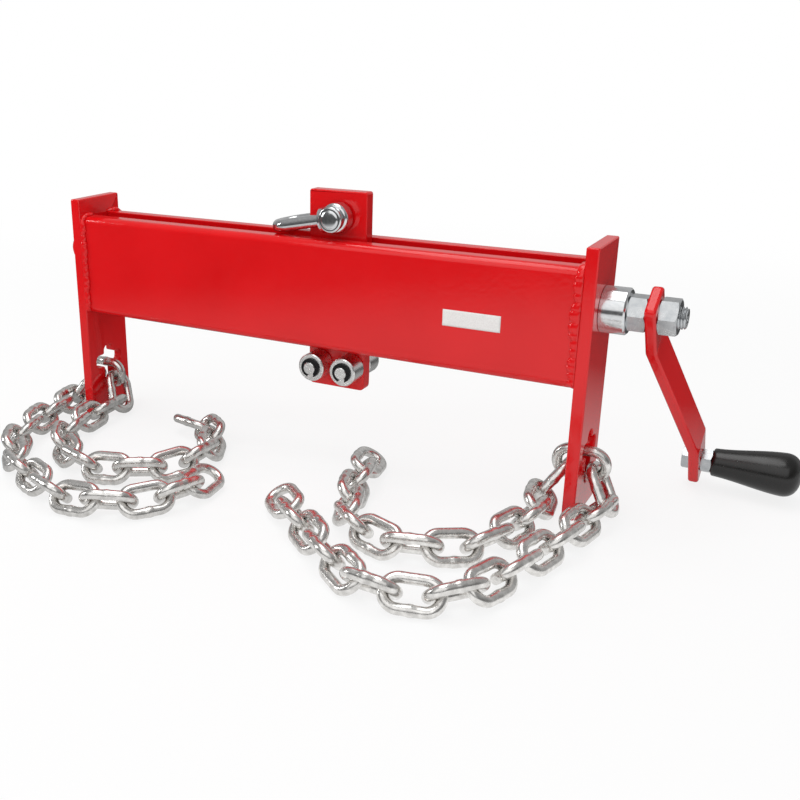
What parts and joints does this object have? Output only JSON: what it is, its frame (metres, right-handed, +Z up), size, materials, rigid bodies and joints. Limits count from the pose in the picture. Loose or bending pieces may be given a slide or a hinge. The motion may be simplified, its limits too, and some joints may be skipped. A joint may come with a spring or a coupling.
{
  "type": "engine load leveler",
  "caption": "Red slotted-beam engine load leveler with a crank-driven lifting plate, a shackle and chains through both end plates.",
  "frame": {"origin": "on the floor, midway between the two end plates, at the middle of their depth", "axes": "+X along the beam toward the crank, +Y to the back, +Z up"},
  "size_m": [0.6392, 0.3245, 0.226],
  "materials": {
    "red_enamel": "gloss",
    "zinc": "bright zinc",
    "galvanised_chain": "satin",
    "black_spring_steel": "black oxide",
    "black_plastic": "gloss"
  },
  "bodies": {
    "frame": {"left_end_plate": "red_enamel", "right_end_plate": "red_enamel", "front_channel": "red_enamel", "rear_channel": "red_enamel", "left_weld_beads": "red_enamel", "right_weld_beads": "red_enamel", "left_bearing_cap": "red_enamel", "left_slot_link": "galvanised_chain", "right_slot_link": "galvanised_chain"},
    "screw": {"lead_screw": "zinc", "stop_collar": "zinc", "thrust_collar": "zinc", "inner_crank_nut": "zinc", "crank_arm": "red_enamel", "outer_crank_nut": "zinc", "handle_bolt": "zinc", "handle_nut": "zinc"},
    "grip": {"crank_grip": "black_plastic"},
    "carriage": {"upper_lifting_plate": "red_enamel", "lower_lifting_plate": "red_enamel", "travelling_nut": "zinc", "left_axle": "zinc", "right_axle": "zinc", "axle_clips": "black_spring_steel"},
    "shackle": {"shackle_bow": "zinc", "shackle_pin": "zinc"},
    "front_left_roller": {"front_left_roller": "zinc"},
    "rear_left_roller": {"rear_left_roller": "zinc"},
    "front_right_roller": {"front_right_roller": "zinc"},
    "rear_right_roller": {"rear_right_roller": "zinc"},
    "right_outer_hanging": {"right_outer_hanging_links": "galvanised_chain"},
    "right_outer_run_1": {"right_outer_chain_1": "galvanised_chain"},
    "right_outer_run_2": {"right_outer_chain_2": "galvanised_chain"},
    "right_outer_run_3": {"right_outer_chain_3": "galvanised_chain"},
    "right_inner_hanging": {"right_inner_hanging_links": "galvanised_chain"},
    "right_inner_run_1": {"right_inner_chain_1": "galvanised_chain"},
    "right_inner_run_2": {"right_inner_chain_2": "galvanised_chain"},
    "right_inner_run_3": {"right_inner_chain_3": "galvanised_chain"},
    "left_inner_hanging": {"left_inner_hanging_links": "galvanised_chain"},
    "left_inner_run_1": {"left_inner_chain_1": "galvanised_chain"},
    "left_inner_run_2": {"left_inner_chain_2": "galvanised_chain"},
    "left_inner_run_3": {"left_inner_chain_3": "galvanised_chain"},
    "left_outer_hanging": {"left_outer_hanging_links": "galvanised_chain"},
    "left_outer_run_1": {"left_outer_chain_1": "galvanised_chain"},
    "left_outer_run_2": {"left_outer_chain_2": "galvanised_chain"},
    "left_outer_run_3": {"left_outer_chain_3": "galvanised_chain"}
  },
  "joints": [
    {"name": "screw_spin", "type": "hinge", "parent": "frame", "child": "screw", "pos_m": [0, 0, 0.1564], "axis": [1, 0, 0], "range_deg": [-27900, 30600]},
    {"name": "carriage_slide", "type": "slide", "parent": "frame", "child": "carriage", "axis": [1, 0, 0], "range_m": [-0.1702, 0.1552]},
    {"name": "grip_spin", "type": "hinge", "parent": "screw", "child": "grip", "pos_m": [0.3434, 0.08714, 0.02221], "axis": [1, 0, 0], "continuous": true},
    {"name": "shackle_swing", "type": "hinge", "parent": "carriage", "child": "shackle", "pos_m": [0.0255, 0, 0.2058], "axis": [0, 1, 0], "range_deg": [0, 200]},
    {"name": "front_left_roller_spin", "type": "hinge", "parent": "carriage", "child": "front_left_roller", "pos_m": [0.00865, -0.0144, 0.0835], "axis": [0, 1, 0], "range_deg": [-775, 849]},
    {"name": "rear_left_roller_spin", "type": "hinge", "parent": "carriage", "child": "rear_left_roller", "pos_m": [0.00865, 0.0144, 0.0835], "axis": [0, 1, 0], "range_deg": [-775, 849]},
    {"name": "front_right_roller_spin", "type": "hinge", "parent": "carriage", "child": "front_right_roller", "pos_m": [0.03735, -0.0144, 0.0835], "axis": [0, 1, 0], "range_deg": [-775, 849]},
    {"name": "rear_right_roller_spin", "type": "hinge", "parent": "carriage", "child": "rear_right_roller", "pos_m": [0.03735, 0.0144, 0.0835], "axis": [0, 1, 0], "range_deg": [-775, 849]},
    {"name": "right_outer_lift", "type": "hinge", "parent": "frame", "child": "right_outer_hanging", "pos_m": [0.2393, 0, 0.0263], "axis": [-1, 0, 0], "range_deg": [-15, 30]},
    {"name": "right_outer_turn_1", "type": "hinge", "parent": "right_outer_hanging", "child": "right_outer_run_1", "pos_m": [0.24877, -0.04167, 0.01211], "axis": [0, 0, 1], "range_deg": [-3, 10]},
    {"name": "right_outer_turn_2", "type": "hinge", "parent": "right_outer_run_1", "child": "right_outer_run_2", "pos_m": [0.2236, -0.15194, 0.01277], "axis": [0, 0, 1], "range_deg": [-3, 10]},
    {"name": "right_outer_turn_3", "type": "hinge", "parent": "right_outer_run_2", "child": "right_outer_run_3", "pos_m": [0.11744, -0.18817, 0.0128], "axis": [0, 0, 1], "range_deg": [-3, 10]},
    {"name": "right_inner_lift", "type": "hinge", "parent": "frame", "child": "right_inner_hanging", "pos_m": [0.2202, 0, 0.0263], "axis": [-1, 0, 0], "range_deg": [-15, 30]},
    {"name": "right_inner_turn_1", "type": "hinge", "parent": "right_inner_hanging", "child": "right_inner_run_1", "pos_m": [0.21126, -0.04164, 0.01274], "axis": [0, 0, 1], "range_deg": [-10, 3]},
    {"name": "right_inner_turn_2", "type": "hinge", "parent": "right_inner_run_1", "child": "right_inner_run_2", "pos_m": [0.16936, -0.14191, 0.01385], "axis": [0, 0, 1], "range_deg": [-10, 3]},
    {"name": "right_inner_turn_3", "type": "hinge", "parent": "right_inner_run_2", "child": "right_inner_run_3", "pos_m": [0.09218, -0.12111, 0.01183], "axis": [0, 0, 1], "range_deg": [-10, 3]},
    {"name": "left_inner_lift", "type": "hinge", "parent": "frame", "child": "left_inner_hanging", "pos_m": [-0.2202, 0, 0.0263], "axis": [-1, 0, 0], "range_deg": [-15, 30]},
    {"name": "left_inner_turn_1", "type": "hinge", "parent": "left_inner_hanging", "child": "left_inner_run_1", "pos_m": [-0.2069, -0.042, 0.01258], "axis": [0, 0, 1], "range_deg": [-3, 10]},
    {"name": "left_inner_turn_2", "type": "hinge", "parent": "left_inner_run_1", "child": "left_inner_run_2", "pos_m": [-0.1557, -0.13718, 0.01361], "axis": [0, 0, 1], "range_deg": [-3, 10]},
    {"name": "left_inner_turn_3", "type": "hinge", "parent": "left_inner_run_2", "child": "left_inner_run_3", "pos_m": [-0.064, -0.09621, 0.01383], "axis": [0, 0, 1], "range_deg": [-3, 10]},
    {"name": "left_outer_lift", "type": "hinge", "parent": "frame", "child": "left_outer_hanging", "pos_m": [-0.2393, 0, 0.0263], "axis": [-1, 0, 0], "range_deg": [-15, 30]},
    {"name": "left_outer_turn_1", "type": "hinge", "parent": "left_outer_hanging", "child": "left_outer_run_1", "pos_m": [-0.24885, -0.04169, 0.01201], "axis": [0, 0, 1], "range_deg": [-10, 3]},
    {"name": "left_outer_turn_2", "type": "hinge", "parent": "left_outer_run_1", "child": "left_outer_run_2", "pos_m": [-0.21049, -0.14718, 0.01232], "axis": [0, 0, 1], "range_deg": [-10, 3]},
    {"name": "left_outer_turn_3", "type": "hinge", "parent": "left_outer_run_2", "child": "left_outer_run_3", "pos_m": [-0.08301, -0.19822, 0.01371], "axis": [0, 0, 1], "range_deg": [-10, 3]}
  ],
  "couplings": [
    {"joint": "carriage_slide", "follows": "screw_spin", "m_per_rad": -0.00031831},
    {"joint": "front_left_roller_spin", "follows": "screw_spin", "ratio": 0.027679},
    {"joint": "rear_left_roller_spin", "follows": "screw_spin", "ratio": 0.027679},
    {"joint": "front_right_roller_spin", "follows": "screw_spin", "ratio": 0.027679},
    {"joint": "rear_right_roller_spin", "follows": "screw_spin", "ratio": 0.027679}
  ]
}
